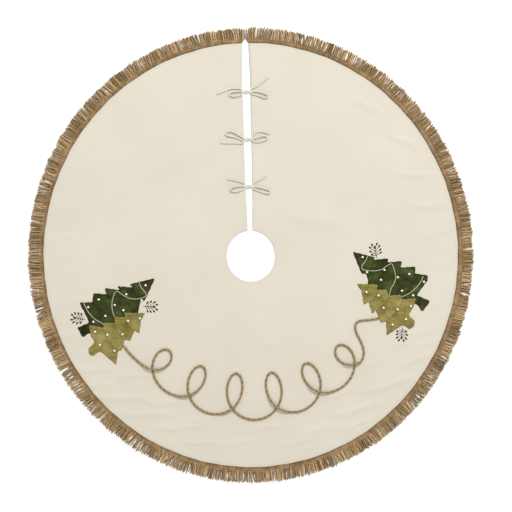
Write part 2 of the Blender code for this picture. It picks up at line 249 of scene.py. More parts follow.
def velvet(name, light, middle, dark, sheen):
    """Velvet whose pile lies this way and that in patches, with fine fibres, darkened or lightened
    by the shape's tint, which holds painted shade and painted highlights.
    """
    n = Nodes(name)
    lay = n.noise((21, 27, 24), 3, 0.6)
    brushed = n.noise((52, 84, 60), 4, 0.65)
    fibre = n.noise((2600, 2600, 2600), 2)
    tone = n.math("ADD", n.math("MULTIPLY", lay, 0.58), n.math("MULTIPLY", brushed, 0.42))
    colour = n.ramp(tone, (0.38, dark), (0.50, middle), (0.63, light))
    shade = n.ramp(fibre, (0.25, (0.78, 0.78, 0.78)), (0.75, (1.0, 1.0, 1.0)))
    # The tint: painted shade at the dark trees' edges and under tier lips, painted highlights
    # along the lips, the olive trees' paler raw edge and the trunks' own darker tone
    place = n.ramp(n.attribute("tint"), (0.0, (0.40, 0.34, 0.28)), (0.5, (0.74, 0.74, 0.74)),
                   (1.0, (1.0, 1.0, 1.0)))
    return n.finish(n.multiplied(n.multiplied(colour, shade), place), fibre, 0.8, 0.95,
                    n.math("ADD", fibre, lay), 0.35, 0.0004, Sheen_Tint=(*light, 1),
                    Sheen_Weight=sheen, Sheen_Roughness=0.35, Specular_IOR_Level=0.1)


def pearl_gloss(name):
    n = Nodes(name)
    cloud = n.noise((420, 420, 420), 2)
    tone = n.ramp(cloud, (0.30, (0.66, 0.62, 0.47)), (0.70, (0.80, 0.77, 0.64)))
    return n.finish(tone, cloud, 0.18, 0.32, cloud, 0.05, 0.0002,
                    Coat_Weight=0.6, Coat_Roughness=0.12, Specular_IOR_Level=0.6)


# ---- mesh helpers

class Shape:
    """Collects points, faces and the grain that materials read, then makes one object."""

    def __init__(self):
        self.points, self.faces, self.grains, self.tints = [], [], [], []
        self.count = 0

    def add(self, points, faces, grain=None, tint=0.5):
        points = np.asarray(points, float).reshape(-1, 3)
        self.points.append(points)
        self.grains.append(points if grain is None else np.asarray(grain, float))
        self.tints.append(np.full(len(points), tint) if np.isscalar(tint) else tint)
        self.faces.extend(tuple(int(i) + self.count for i in face) for face in faces)
        self.count += len(points)

    def make(self, name, material):
        mesh = bpy.data.meshes.new(name)
        mesh.from_pydata(np.vstack(self.points), [], self.faces)
        mesh.validate()
        mesh.shade_smooth()
        for label, kind, field, values in (
                ("grain", "FLOAT_VECTOR", "vector", np.vstack(self.grains)),
                ("tint", "FLOAT", "value", np.concatenate(self.tints))):
            attribute = mesh.attributes.new(label, kind, "POINT")
            attribute.data.foreach_set(field, values.astype(np.float32).ravel())
        mesh.materials.append(material)
        return linked(name, mesh)


def settle(piece, slot, body=None, *nodes):
    """Attaches the piece to the half it moves with and hides the CAD nodes it stands for. Without
    a body, as for a piece that crosses the fold line, its transform is baked in where it lies. The
    slot, which names what the piece is made of, is not used."""
    if body:
        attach(piece, body)
    else:
        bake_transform(piece)
    if nodes:
        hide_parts(*nodes)
    return piece


def body_of(name):
    return LEFT if name.endswith("left") else RIGHT


def frames(line):
    """Two directions across the line at each of its points, without needless twist."""
    ahead = np.gradient(line, axis=0)
    ahead /= np.linalg.norm(ahead, axis=1)[:, None] + 1e-12
    side = np.cross(ahead[0], (0, 0, 1.0))
    if np.linalg.norm(side) < 1e-3:
        side = np.array((1.0, 0, 0))
    sides = np.empty_like(line)
    for i, direction in enumerate(ahead):
        side = side - direction * side.dot(direction)
        side = side / (np.linalg.norm(side) + 1e-12)
        sides[i] = side
    return sides, np.cross(ahead, sides)


def distances(line):
    return np.concatenate([[0], np.cumsum(np.linalg.norm(np.diff(line, axis=0), axis=1))])


def tube_faces(rows, sides):
    """The faces between rings of corners, one ring to a row, and a cap at each end."""
    faces = [(a + j, a + k, a + sides + k, a + sides + j)
             for a in range(0, (rows - 1) * sides, sides)
             for j, k in zip(range(sides), [*range(1, sides), 0])]
    last = (rows - 1) * sides
    return faces + [tuple(range(sides))[::-1], tuple(range(last, last + sides))]


def add_tube(shape, line, radius, sides, tint=0.5, offset=0.0, core=None, thick=None):
    """A closed tube along the line. Given the middle line and the thickness of the yarn it is
    a ply of, its colour is darkened in the grooves where it meets the other plies, as painted
    shade."""
    line = np.asarray(line, float)
    across, up = frames(line)
    turn = np.arange(sides) * 2 * pi / sides
    wide, high = radius * np.cos(turn), radius * np.sin(turn)
    points = line[:, None] + across[:, None] * wide[:, None] + up[:, None] * high[:, None]
    grain = np.column_stack([np.repeat(distances(line), sides) + offset,
                             np.tile(wide, len(line)), np.tile(high, len(line))])
    # Painted shade in the grooves between the plies
    if core is not None:
        proud = np.linalg.norm(points - core[:, None], axis=2).ravel() / thick
        tint = np.clip(tint - GROOVE_SHADE * np.clip((0.88 - proud) / 0.4, 0, 1), 0, 1)
    shape.add(points, tube_faces(len(line), sides), grain, tint)


def smooth_line(points, step):
    """Points at even distances, close to step, on a smooth curve through the given ones."""
    points = np.asarray(points, float)
    chain = np.vstack([2 * points[0] - points[1], points, 2 * points[-1] - points[-2]])
    t = (np.arange(16) / 16)[:, None]
    fine = []
    for a, b, c, d in zip(chain, chain[1:], chain[2:], chain[3:]):
        fine.append(0.5 * (2 * b + (c - a) * t + (2 * a - 5 * b + 4 * c - d) * t * t
                           + (3 * b - a - 3 * c + d) * t ** 3))
    fine.append(points[-1:])
    return even_line(np.vstack(fine), step)


def at_places(line, places):
    """The points of the line at these distances along it."""
    along = distances(line)
    return np.stack([np.interp(places, along, axis) for axis in line.T], -1)


def even_line(line, step):
    length = distances(line)[-1]
    return at_places(line, np.linspace(0, length, max(2, int(round(length / step))) + 1))


def add_plied(shape, line, radius, plies, pitch, sides=6, tints=(0.5, 0.5)):
    """Several strands wound round the line, which together are radius thick from its middle."""
    across, up = frames(line)
    along = distances(line)
    strand = radius * (0.5 if plies == 2 else 0.49)
    for ply in range(plies):
        turn = 2 * pi * (along / pitch + ply / plies)
        wound = line + (radius - strand) * (across * np.cos(turn)[:, None]
                                            + up * np.sin(turn)[:, None])
        add_tube(shape, wound, strand, sides, tints[ply], ply * 0.37 + along[-1], line, radius)


def turned(way, angle):
    """The level direction, turned to the left."""
    return np.array((way[0] * cos(angle) - way[1] * sin(angle),
                     way[0] * sin(angle) + way[1] * cos(angle)))


# ---- the cloth's shape

def slit_half(y):
    return np.interp(y, [p for p, _ in SLIT], [w for _, w in SLIT])


def oval(angle, grow):
    return (FACE_X + grow) * np.cos(angle), (FACE_Y + grow) * np.sin(angle)


def swell(x, y, crease):
    """A soft crease in the cloth that fades out towards its ends."""
    middle_x, middle_y, length, width, height = (size * MM for size in crease[:5])
    way_x, way_y = cos(crease[5]), sin(crease[5])
    along = ((x - middle_x) * way_x + (y - middle_y) * way_y) / (length / 2)
    off = (y - middle_y) * way_x - (x - middle_x) * way_y - 0.05 * length * np.sin(2.3 * along)
    return height * np.exp(-along ** 4) * np.exp(-(off / width) ** 2)


# Soft creases in the cloth: middle x and y, length, width, height in mm, and direction
CREASES = [
    (-490, -205, 80, 8, 1.69, -0.15), (-440, -300, 120, 9, 2.21, -0.12),
    (-360, -378, 160, 9, 2.47, -0.2), (-290, -425, 140, 8, 2.08, -0.15),
    (-420, -342, 70, 7, 1.69, -0.05), (-190, -462, 120, 9, 1.82, -0.1),
    (-60, -510, 110, 9, 1.69, -0.04), (-500, -120, 60, 8, 1.56, 0.1),
    (280, -425, 150, 9, 2.21, 0.1), (365, -362, 150, 9, 2.34, 0.14), (435, -298, 90, 8, 1.82, 0.2),
    (170, -478, 100, 8, 1.69, 0.05), (445, -222, 80, 9, 1.69, 0.08), (505, 45, 70, 8, 1.82, 0.1),
    (490, 120, 90, 8, 1.82, -0.12), (455, 205, 110, 9, 1.95, -0.2), (420, 300, 100, 9, 1.82, -0.6),
    (330, 395, 100, 9, 1.69, -0.65), (515, -40, 50, 7, 1.56, 0.05), (-505, 60, 70, 9, 1.43, -0.1),
    (-410, 330, 90, 10, 1.43, 0.75), (180, 90, 180, 20, 2.08, -0.35),
    (-200, 260, 190, 24, 1.95, 0.3), (60, -230, 160, 22, 1.82, 0.15),
    (-330, -318, 90, 6, 1.56, -0.1), (-235, -395, 100, 7, 1.82, -0.12),
    (-125, -440, 120, 7, 1.69, -0.05), (15, -472, 100, 6, 1.56, 0.03),
    (105, -432, 80, 6, 1.43, 0.08), (235, -383, 90, 6, 1.69, 0.12), (-20, -395, 70, 6, 1.3, -0.1),
    (120, -508, 90, 6, 1.56, 0.1), (-145, -506, 80, 6, 1.69, -0.12),
    (330, -300, 70, 6, 1.43, 0.05), (-468, -255, 60, 6, 1.56, -0.05),
    (478, -250, 60, 6, 1.56, 0.1), (503, -145, 50, 6, 1.56, 0.05), (-250, -465, 70, 6, 1.56, -0.2),
    (270, -468, 80, 6, 1.69, 0.2), (-395, -262, 60, 6, 1.3, -0.25), (395, -255, 60, 6, 1.3, 0.22),
    (-500, -30, 50, 7, 1.3, -0.05),
]


def cloth_top(x, y):
    """Height of the face of the cloth: flat, with soft creases, and puckers at trim and slit."""
    x, y = np.asarray(x, float), np.asarray(y, float)
    share = np.sqrt((x / FACE_X) ** 2 + (y / FACE_Y) ** 2)
    inside = np.clip((1 - share) * FACE_X, 0, None)
    angle = np.arctan2(y, x)
    # Puckers along the trim, of uneven height
    ease = np.clip(inside / 0.018, 0, 1) * np.exp(-(inside / 0.055) ** 2)
    wave = 0.5 + 0.5 * np.sin(41 * angle + 2.2 * np.sin(5 * angle) + 1.1 * np.sin(11 * angle))
    other = 0.5 + 0.5 * np.sin(17 * angle + 1.7 * np.sin(3 * angle))
    rise = ease * wave * (0.35 + 0.65 * other) * 0.0012
    for crease in CREASES:
        rise = rise + swell(x, y, crease)
    # Slow waves along the slit
    near_slit = np.exp(-(x / 0.045) ** 2) * np.clip((y - 0.07) / 0.03, 0, 1)
    near_slit = near_slit * np.clip(inside / 0.03, 0, 1)
    rise = rise + near_slit * 0.0009 * (0.5 + 0.5 * np.sin(y * 62 + 1.5 * np.sign(x)))
    # All lower along the line of the fold
    flat_fold = 1 - 0.5 * np.exp(-(x / 0.02) ** 2) * (y < 0)
    return CLOTH_TOP + rise * flat_fold


def cloth_places(grow, hem):
    """Rows from the hole to the rim, columns from the slit's right side round to its left.
    Rows are closer together near the rim, and both are at the edges, which turn over."""
    shares = np.concatenate([[0, 0.0016, 0.005], np.linspace(0.014, 0.43, 22),
                             np.linspace(0.44, 0.985, 74), [0.995, 1.0]])
    spans = np.concatenate([[0, 0.0018, 0.005], np.linspace(0.011, 0.243, 108),
                            np.linspace(0.2445, 0.5, 120)[1:]])
    spans = np.concatenate([spans, 1 - spans[-2::-1]])
    shares = shares[:, None]
    half_x = HOLE_X + hem + (FACE_X + grow - HOLE_X - hem) * shares
    half_y = HOLE_Y_HALF + hem + (FACE_Y + grow - HOLE_Y_HALF - hem) * shares
    middle = HOLE_Y * (1 - shares)
    lean = slit_half(middle + half_y) + hem
    for _ in range(3):
        reach = middle + half_y * np.sqrt(np.clip(1 - (lean / half_x) ** 2, 0, None))
        lean = slit_half(reach) + hem
    start = pi / 2 - np.arcsin(lean / half_x)
    angle = start - (2 * start + pi) * spans
    return half_x * np.cos(angle), middle + half_y * np.sin(angle)


def layer(name, grow, hem, top, thickness, edge, material):
    """A closed sheet between its top and its underside, with softly rounded edges."""
    x, y = cloth_places(grow, hem)
    drop = np.full(x.shape, edge)
    drop[1:-1, 1:-1] = 0
    high = top(x, y)
    low = high - thickness + drop
    high = high - drop
    number = np.arange(x.size).reshape(x.shape)
    quads = np.stack([number[:-1, :-1], number[:-1, 1:], number[1:, 1:], number[1:, :-1]], -1)
    quads = quads.reshape(-1, 4)
    border = [*number[0], *number[1:, -1], *number[-1, -2::-1], *number[-2::-1, 0]]
    faces = [tuple(q) for q in quads] + [tuple(q[::-1] + x.size) for q in quads]
    faces += [(a + x.size, b + x.size, b, a) for a, b in zip(border, border[1:])]
    shape = Shape()
    shape.add([np.stack([x, y, z], -1).reshape(-1, 3) for z in (high, low)], faces)
    return shape.make(name, material)


def make_cloth():
    linen = woven("linen", (0.572, 0.530, 0.442), (0.545, 0.503, 0.417),
                  thread=0.0011, slub=0.10, sheen=0.12)
    cotton = woven("cotton_lining", (0.60, 0.57, 0.51), (0.57, 0.54, 0.48),
                   thread=0.0008, slub=0.06, sheen=0.1)
    face = layer("cloth_face", HEM_UNDER_HEADER, 0.0, cloth_top, CLOTH_TOP - SHELL_LOW[2],
                 0.0004, linen)
    lining = layer("cloth_lining", HEM_UNDER_HEADER - LINING_INSET, LINING_INSET,
                   lambda x, y: cloth_top(x, y) - (CLOTH_TOP - LINING_TOP), LINING_TOP,
                   0.0002, cotton)
    settle(face, "linen_face", None, "shell_left", "shell_right")
    settle(lining, "cotton_lining", None, "lining_left", "lining_right")
    return face, lining


# ---- trim

def closing(x, y, grow):
    """Draws what is close to the slit's outer end towards the slit, which the fringe closes."""
    full = 0.016               # how far out from the face's edge the slit is closed
    share = np.clip(grow / full, 0, 1)
    share = share * share * (3 - 2 * share)
    near = np.exp(-np.clip(np.abs(x) - SLIT_END, 0, None) / 0.030) * (np.asarray(y) > 0)
    return x - np.sign(x) * (0.0088 + 0.06 * np.clip(grow - full, 0, 1)) * share * near


# The header band's section, out over its face and back beneath it: distance from the inner
# edge, share of the thickness, and tint, which is lower towards the edges and in the groove
# beside the inner cord as painted shade
HEADER_OVER = [
    (0.0, 0.1, 0.15), (0.0003, 0.75, 0.2), (0.0013, 1.0, 0.4), (0.0024, 0.72, 0.25),
    (0.0045, 0.86, 0.5), (0.0070, 0.9, 0.6), (0.0095, 0.80, 0.55), (0.0116, 0.70, 0.55),
    (HEADER_WIDTH - 0.0008, 0.50, 0.5), (HEADER_WIDTH, 0.1, 0.4)]
HEADER_UNDER = [(HEADER_WIDTH - 0.0006, -0.06, 0.2), (0.0006, -0.06, 0.2)]


def make_header(material):
    """The woven band over the cloth's rim: corded edges, a ribbed middle, slightly uneven."""
    section = HEADER_OVER + HEADER_UNDER
    columns, thick, rib_pitch, rib_height, gap = 3600, 0.0015, 0.0050, 0.00042, 0.0003
    margin = SLIT_END / FACE_X
    start = pi / 2 - margin
    angles = np.linspace(start, start - 2 * pi + 2 * margin, columns)
    along = -(angles - start) * (FACE_X + FACE_Y) / 2
    base = cloth_top(*oval(angles, -0.004)) + gap
    strand = along / rib_pitch
    strand_tints = chance.normal(0, 0.15, int(strand[-1]) + 3)
    shade = np.interp(strand, np.arange(len(strand_tints)), strand_tints)
    shade += 0.15 * np.sin(angles * 31 + 3 * np.sin(angles * 8))
    rows, tints = [], []
    for grow, height, tint in section:
        x, y = oval(angles, grow + 0.0004 * np.sin(angles * 23) + 0.0003 * np.sin(angles * 61))
        rib = np.sin(2 * pi * (strand + grow * 40)) if height > 0.4 else 0 * along
        z = base + thick * height + rib_height * rib
        rows.append(np.stack([closing(x, y, grow), y, z], -1))
        # Painted highlight on the ribs' crests and painted shade in their troughs, following their
        # height, added to the strands' own uneven tone
        tints.append(tint + 0.30 * rib + shade)
    points = np.array(rows)
    count = len(section)
    number = np.arange(count * columns).reshape(count, columns)
    faces = []
    for a, b in zip(number, np.roll(number, -1, axis=0)):
        faces += [(a[j], b[j], b[j + 1], a[j + 1]) for j in range(columns - 1)]
    faces += [tuple(number[::-1, 0]), tuple(number[:, -1])]
    grows = [row[0] for row in section]
    grain = np.stack([np.tile(along, count), np.repeat(grows, columns),
                      points[..., 2].ravel()], -1)
    shape = Shape()
    shape.add(points, faces, grain, np.clip(np.concatenate(tints), 0, 1))
    return shape.make("header_band", material)


# The upper row of loops, and the lower one, which is seen only between those of the upper one:
# height of the yarn, how much shorter the loops are, half the distance between their legs,
# radius of the yarn, thickness of the twisted legs, tint, points along and corners round
UPPER_ROW = (0.0037, 0.0, 0.00105, 0.00115, 0.0022, 0.80, 15, 5)
# The lower row's lower tint is painted shade, for the shade it lies in under the upper row
LOWER_ROW = (0.0017, 0.0022, 0.0008, 0.0009, 0.0017, 0.50, 10, 4)
FRINGE_LOOPS = 1520
LOOP_TWIST = 0.0088        # length of one turn of the two legs round each other


def loop_line(angle, slant, reach, height, lift, bulge, phase, spread, count):
    """A yarn loop: out along one leg, round its end and back, both legs wound on each other.

    Gives the yarn's line and, for each of its points, the middle between the two legs."""
    start = 0.0100 + 0.0028 * cos(angle)      # under the header
    reach = reach - start
    outward = np.array((cos(angle) * FACE_Y, sin(angle) * FACE_X))
    tilt = np.append(turned(outward / np.linalg.norm(outward), slant), 0.0)
    aside, up = np.array((-tilt[1], tilt[0], 0.0)), np.array((0, 0, 1.0))
    places = np.linspace(0, 1, count)
    out = np.array((*oval(angle, start), 0.0)) + np.outer(places * (reach - 0.0013), tilt)
    out = out + np.outer(bulge * np.sin(pi * places) ** 1.5, aside)
    out[:, 2] = height + lift * places
    out[:, 0] = closing(out[:, 0], out[:, 1], start + places * reach)
    turn = 2 * pi * places * reach / LOOP_TWIST + phase
    wind = (np.cos(turn)[:, None] * aside + 0.8 * np.sin(turn)[:, None] * up) * spread
    end = out[-1:] + tilt * 0.0012
    return (np.vstack([out + wind, end, (out - wind)[::-1]]),
            np.vstack([out, out[-1:], out[::-1]]))


def rim_slant(angle):
    """How far the bundles of loops lean over, which drifts along the rim."""
    drift = 0.15 * np.sin(29 * angle + 2 * np.sin(7 * angle)) + 0.13 * np.sin(67 * angle)
    return drift + 0.10 * np.sin(11 * angle + 1.3) + 0.05 * np.sin(151 * angle)


def make_fringe(material):
    """Two rows of loops, in bundles that lean, gape and differ in length and tint."""
    shapes = {"left": Shape(), "right": Shape(), "fold": Shape()}
    margin = SLIT_END / FACE_X
    longest = FRINGE_REACH + 0.0018
    for i in range(FRINGE_LOOPS):
        height, shorter, spread, radius, thick, tint, count, sides = (UPPER_ROW, LOWER_ROW)[i % 2]
        angle = pi / 2 - margin - (2 * pi - 2 * margin) * (i + 0.5) / FRINGE_LOOPS
        angle += chance.normal(0, 0.0008)
        slant = 0.6 * rim_slant(angle) + chance.normal(0, 0.04)
        reach = longest + chance.normal(0, 0.0013) - 0.0012 * (1 + sin(angle * 53)) / 2 - shorter
        gaping = 0.5 + 0.5 * sin(angle * 19 + 2 * sin(angle * 6))
        bulge = (0.0004 + 0.0016 * gaping) * (sin(angle * 290) + chance.normal(0, 0.4))
        phase, lift = chance.uniform(0, 6.3), chance.uniform(0, 0.0007)
        tint += chance.normal(0, 0.13) + 0.10 * sin(angle * 37)
        if i % 2:
            lift = 0       # only the upper row rises
        line, core = loop_line(angle, slant, reach, height, lift, bulge, phase, spread, count)
        side = "fold"
        if line[:, 0].min() > FOLD_BAND:
            side = "right"
        elif line[:, 0].max() < -FOLD_BAND:
            side = "left"
        add_tube(shapes[side], line, radius, sides, tint, i * 0.113, core, thick)
    loops = {side: shape.make("fringe_loops_" + side, material) for side, shape in shapes.items()}
    settle(loops["left"], "fringe_yarn", LEFT, "fringe_left")
    settle(loops["right"], "fringe_yarn", RIGHT, "fringe_right")
    settle(loops["fold"], "fringe_yarn")
    return loops.values()


def make_trim():
    band = make_header(yarn("woven_header", (0.300, 0.195, 0.100), (0.085, 0.049, 0.020),
                            ply=0.6, fuzz=0.03, reach=0.5))
    settle(band, "woven_header", None, "fringe_header_left", "fringe_header_right")
    fringe = make_fringe(yarn("fringe_yarn", (0.385, 0.252, 0.116), (0.066, 0.038, 0.013),
                              ply=0.6, fuzz=0.03, reach=0.62, pale=(0.62, 0.45, 0.24)))
    return [band, *fringe]


# ---- velvet trees

# In mm: each tier's lower edge, where each dark tree's trunk leaves its lowest tier, and each
# tree's tip
SEAMS = {
    "dark_tree_left": [((-321, -80), (-302, -113)), ((-357, -86), (-320, -140)),
                       ((-393, -97), (-345, -148)), ((-433, -117), (-372, -157))],
    "light_tree_left": [((-345, -160), (-320, -196)), ((-373, -174), (-347, -220)),
                        ((-404, -187), (-365, -251))],
    "dark_tree_right": [((331, -22), (310, -57)), ((371, -30), (330, -84)),
                        ((404, -45), (378, -103)), ((444, -62), (404, -130))],
    "light_tree_right": [((340, -104), (316, -136)), ((371, -120), (335, -158)),
                         ((407, -132), (362, -190))],
}
TRUNKS = {"dark_tree_left": ((-443, -168), (-443, -203)),
          "dark_tree_right": ((447, -116), (443, -146))}
APEX = {"dark_tree_left": (-261, -56), "light_tree_left": (-290, -150),
        "dark_tree_right": (276, 2), "light_tree_right": (285, -86)}
# Distance between the points of an outline, and how far its corners are rounded
OUTLINE_STEP, OUTLINE_BLUR = 0.002, 0.0022


def outline_of(node):
    """The outline of a flat CAD piece, read from the border of its top face."""
    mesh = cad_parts[node].data
    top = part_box(node)[1][2] - 0.00002
    places = {v.index: (round(v.co.x, 6), round(v.co.y, 6)) for v in mesh.vertices if v.co.z > top}
    following = {}
    for face in mesh.polygons:
        corners = list(face.vertices)
        if all(c in places for c in corners):
            for a, b in zip(corners, corners[1:] + corners[:1]):
                a, b = places[a], places[b]
                if following.get(b) and a in following[b]:
                    following[b].remove(a)
                else:
                    following.setdefault(a, []).append(b)
    start = next(a for a, nexts in following.items() if nexts)
    loop = [start]
    while True:
        following_point = following[loop[-1]].pop()
        if following_point == start:
            return np.array(loop)
        loop.append(following_point)


def softened(outline, step, blur):
    """The outline at even steps with its corners a little rounded, as cut velvet has them."""
    closed = np.vstack([outline, outline[:1]])
    length = distances(closed)[-1]
    count = int(length / step)
    line = at_places(closed, np.arange(count) * length / count)
    reach = int(3 * blur / step) + 1
    weights = np.exp(-(np.arange(-reach, reach + 1) * step / blur) ** 2 / 2)
    weights /= weights.sum()
    padded = np.vstack([line[-reach:], line, line[:reach]])
    return np.stack([np.convolve(padded[:, i], weights, "valid") for i in range(2)], -1)


def signed_depth(outline, x, y):
    """How far inside the outline each place is; negative outside."""
    x, y = np.atleast_1d(x).astype(float), np.atleast_1d(y).astype(float)
    near = np.full(x.shape, 1e9)
    inside = np.zeros(x.shape, bool)
    for (ax, ay), (bx, by) in zip(outline, np.roll(outline, -1, axis=0)):
        dx, dy = bx - ax, by - ay
        t = np.clip(((x - ax) * dx + (y - ay) * dy) / (dx * dx + dy * dy + 1e-18), 0, 1)
        near = np.minimum(near, np.hypot(x - ax - t * dx, y - ay - t * dy))
        crosses = (ay > y) != (by > y)
        where = ax + (y - ay) * dx / (dy if abs(dy) > 1e-12 else 1e-12)
        inside ^= crosses & (x < where)
    return np.where(inside, near, -near)


class Tree:
    """One padded velvet tree: its outline and the height of its surface."""

    def __init__(self, node, under=None, rim_shade=0.42, rim_width=0.0055, lip_highlight=0.1):
        self.node, self.under = node, under
        self.rim_shade, self.rim_width, self.lip_highlight = rim_shade, rim_width, lip_highlight
        self.outline = softened(outline_of(node), OUTLINE_STEP, OUTLINE_BLUR)
        uneven = np.arange(len(self.outline)) * OUTLINE_STEP
        self.outline += 0.0005 * np.stack([np.sin(uneven * 310), np.sin(uneven * 370 + 1)], -1)
        self.seams = [(np.array(a) * MM, np.array(b) * MM) for a, b in SEAMS[node]]
        self.apex = np.array(APEX[node]) * MM

    def base(self, x, y):
        height = cloth_top(x, y) + 0.0001
        if self.under is not None:
            depth = signed_depth(self.under.outline, x, y)
            height = height + 0.0021 * np.clip((depth + 0.002) / 0.005, 0, 1)
        return height

    def top(self, x, y):
        depth = np.clip(signed_depth(self.outline, x, y), 0, None)
        edge, crown = 0.0038, 0.0022    # how wide the rolled edge is, and how thick the tree
        rise = crown * np.sqrt(1 - (1 - np.clip(depth / edge, 0, 1)) ** 2)
        lumps = np.sin(x * 210 + 1.7 * np.sin(y * 130)) * np.sin(y * 190 + 1.1)
        rise = rise + 0.00022 * lumps * np.clip(depth / 0.01, 0, 1)
        for a, b in self.seams:
            rise = rise + self.seam(a, b, x, y, np.clip(depth / 0.004, 0, 1))
        return self.base(x, y) + np.maximum(rise, 0.0002 * np.clip(depth / 0.002, 0, 1))

    def tone(self, x, y):
        """Painted light on the pile: painted shade at a dark tree's rolled edge and under each
        tier's lip and a painted highlight along each lip; an olive tree's paler raw edge and the
        trunk's darker tone are their own colour.
        """
        depth = np.clip(signed_depth(self.outline, x, y), 0, None)
        # A positive rim_shade paints shade at the rolled edge; a negative one, as on the olive
        # trees, gives a paler raw edge
        tone = 0.5 - self.rim_shade * np.exp(-(depth / self.rim_width) ** 2)
        for a, b in self.seams:
            past, within = self.past_seam(a, b, x, y)
            # Painted shade just below each tier's lip, and a painted highlight along the lip
            # itself
            tone = tone - 0.38 * within * np.exp(-np.abs(past) / 0.006) * (past < 0)
            tone = tone + self.lip_highlight * within * np.exp(-((past - 0.0012) / 0.0011) ** 2)
        if self.node in TRUNKS:
            a, b = np.array(TRUNKS[self.node]) * MM
            past, within = self.past_seam(a, b, x, y)
            tone = tone - 0.45 * within * np.clip(-past / 0.004, 0, 1)
        return np.clip(tone, 0, 1)

    def past_seam(self, a, b, x, y):
        """Distance from a tier's lower edge, above it positive, and whether beside its length."""
        length = np.linalg.norm(b - a)
        way = (b - a) / length
        normal = np.array((-way[1], way[0]))
        if (self.apex - a).dot(normal) < 0:
            normal = -normal
        reach = ((x - a[0]) * way[0] + (y - a[1]) * way[1]) / length
        bow = 0.004 * np.sin(pi * np.clip(reach, 0, 1))
        past = (x - a[0]) * normal[0] + (y - a[1]) * normal[1] + bow
        within = np.clip(reach / 0.05 + 1, 0, 1) * np.clip((1 - reach) / 0.05 + 1, 0, 1)
        return past, within

    def seam(self, a, b, x, y, inside):
        """A tier's lower edge: the tier above ends here, proud of the one below."""
        past, within = self.past_seam(a, b, x, y)
        groove = -0.0010 * np.exp(-(past / 0.0013) ** 2)
        lip = 0.0006 * np.exp(-np.abs(past) / 0.012) * (1 / (1 + np.exp(-past / 0.0005)))
        return (groove + lip) * within * inside

    def make(self, name, material):
        """Fills the outline with staggered points. The underside shares those on the rim."""
        step = 0.0019
        low, high = self.outline.min(axis=0), self.outline.max(axis=0)
        x, y = np.meshgrid(np.arange(low[0], high[0], step),
                           np.arange(low[1], high[1], step * 0.87))
        x[1::2] += step / 2
        inner = np.stack([x.ravel(), y.ravel()], -1)
        inner = inner[signed_depth(self.outline, *inner.T) > step * 0.55]
        count = len(self.outline)
        flat = [Vector(p) for p in np.vstack([self.outline, inner])]
        ring = [(i, (i + 1) % count) for i in range(count)]
        points, _, faces, *_ = delaunay_2d_cdt(flat, ring, [], 1, 1e-7)
        xy = np.array([tuple(p) for p in points])
        top, base, tint = self.top(*xy.T), self.base(*xy.T), self.tone(*xy.T)
        on_rim = np.abs(signed_depth(self.outline, *xy.T)) < 1e-6
        lower = np.where(on_rim, np.arange(len(xy)), len(xy) + np.cumsum(~on_rim) - 1)
        faces = [tuple(f) for f in faces]
        faces += [tuple(lower[list(f[::-1])]) for f in faces]
        shape = Shape()
        shape.add(np.vstack([np.column_stack([xy, np.where(on_rim, base, top)]),
                             np.column_stack([xy, base])[~on_rim]]),
                  faces, tint=np.concatenate([tint, tint[~on_rim]]))
        return shape.make(name, material)


def tuck_under(lower, upper):
    """Carries the lower tree's outline on beneath the upper one wherever the two meet."""
    x, y = lower.outline.T
    step, tuck = 0.0005, 0.006
    notch, near_trunk = 0.0105, 0.035    # wider gaps are closed too, but not beside the trunk
    root_x, root_y = np.mean(TRUNKS[lower.node], axis=0) * MM
    gap = np.where(np.hypot(x - root_x, y - root_y) < near_trunk, tuck, notch)
    depth = signed_depth(upper.outline, x, y)
    slope = np.stack([signed_depth(upper.outline, x + step, y) - depth,
                      signed_depth(upper.outline, x, y + step) - depth], -1) / step
    slope /= np.linalg.norm(slope, axis=1)[:, None] + 1e-9
    push = np.where((depth > -gap) & (depth < tuck), tuck - depth, 0)
    lower.outline = softened(lower.outline + slope * push[:, None], OUTLINE_STEP, 0.0016)


def add_stitches(shape, line, pitch, length, radius, height):
    """Running stitches along a line; height gives the surface that they are sewn through."""
    for start in np.arange(pitch / 2, distances(line)[-1] - length, pitch):
        x, y = at_places(line, start + length * np.array((0, 0.12, 0.5, 0.88, 1))).T
        z = height(x, y) + radius * np.array((-1.6, 0.3, 0.9, 0.3, -1.6))
        add_tube(shape, np.stack([x, y, z], -1), radius, 4)


def edge_stitches(tree):
    """Stitches all round the tree, a little inside its edge."""
    edge = softened(tree.outline, OUTLINE_STEP, OUTLINE_BLUR)
    around = np.roll(edge, -1, axis=0) - np.roll(edge, 1, axis=0)
    inward = np.stack([-around[:, 1], around[:, 0]], -1)
    inward /= np.linalg.norm(inward, axis=1)[:, None]
    x, y = edge.T
    anticlockwise = np.sign(np.sum(x * np.roll(y, -1) - np.roll(x, -1) * y))
    route = edge + inward * 0.0026 * anticlockwise
    shape = Shape()
    add_stitches(shape, np.vstack([route, route[:1]]), 0.0042, 0.0026, 0.00028, tree.top)
    return shape


